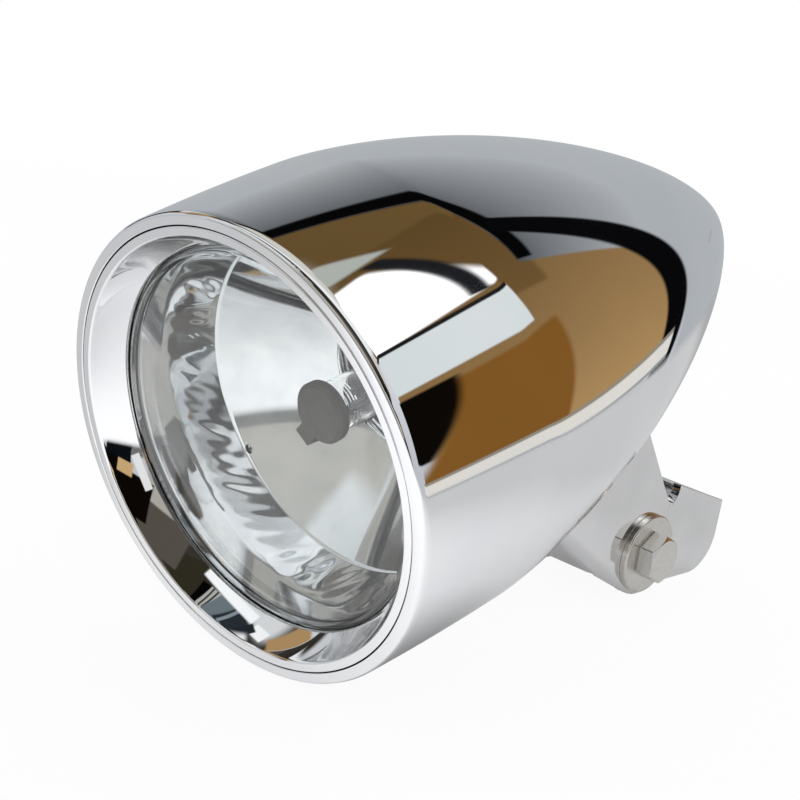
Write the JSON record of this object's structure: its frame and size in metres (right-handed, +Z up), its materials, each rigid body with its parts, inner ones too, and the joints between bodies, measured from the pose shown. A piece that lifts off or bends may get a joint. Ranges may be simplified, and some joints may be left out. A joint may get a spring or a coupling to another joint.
{
  "type": "motorcycle headlight",
  "caption": "Round bullet-shaped chrome motorcycle headlight with clear lens, faceted reflector, hinged steel bracket and a single M8 base bolt hole.",
  "frame": {"origin": "centre of the base bolt hole on the underside of the mount bracket", "axes": "+Z up from the mount bracket's flat base, +Y back towards the lamp's pointed tail side, -Y the way the light shines (nose down 16.3 degrees at rest), +X to the side where the bolt's head is"},
  "size_m": [0.1186, 0.2204, 0.131],
  "materials": {
    "chrome_plate": "bright chrome plating on steel, polished",
    "stainless": "bare stainless steel, lightly turned",
    "clear_glass": "clear smooth glass",
    "aluminised": "vacuum-aluminised reflector, mirror bright",
    "black_rubber": "black rubber, matt",
    "spring_steel": "drawn spring steel wire and strip, zinc plated",
    "shield_paint": "matt grey-brown heat-proof coat on thin steel",
    "tungsten": "bare tungsten wire",
    "zinc_steel": "stamped steel, zinc plated",
    "brass_tabs": "plain brass blades",
    "black_plastic": "black moulded polyamide, matt"
  },
  "bodies": {
    "mount": {"mount_bracket": "chrome_plate", "pivot_spacer": "stainless"},
    "lamp_head": {"shell": "chrome_plate", "shell_bracket": "chrome_plate", "cable_grommet": "black_rubber", "bezel_ring": "chrome_plate", "bezel_screw": "stainless", "lens_glass": "clear_glass", "lens_gasket": "black_rubber", "reflector": "aluminised", "retaining_clips": "spring_steel", "bulb_shield": "shield_paint", "bulb_glass": "clear_glass", "bulb_filaments": "tungsten", "bulb_base": "zinc_steel", "bulb_contacts": "brass_tabs", "bulb_clip": "spring_steel", "dust_boot": "black_rubber", "connector": "black_plastic", "pivot_bolt": "stainless", "flat_washers": "stainless", "spring_washer": "stainless", "pivot_nut": "stainless"}
  },
  "joints": [
    {"name": "tilt", "type": "hinge", "parent": "mount", "child": "lamp_head", "pos_m": [0, -0.026, 0.0134], "axis": [1, 0, 0], "range_deg": [-75, 25]}
  ]
}
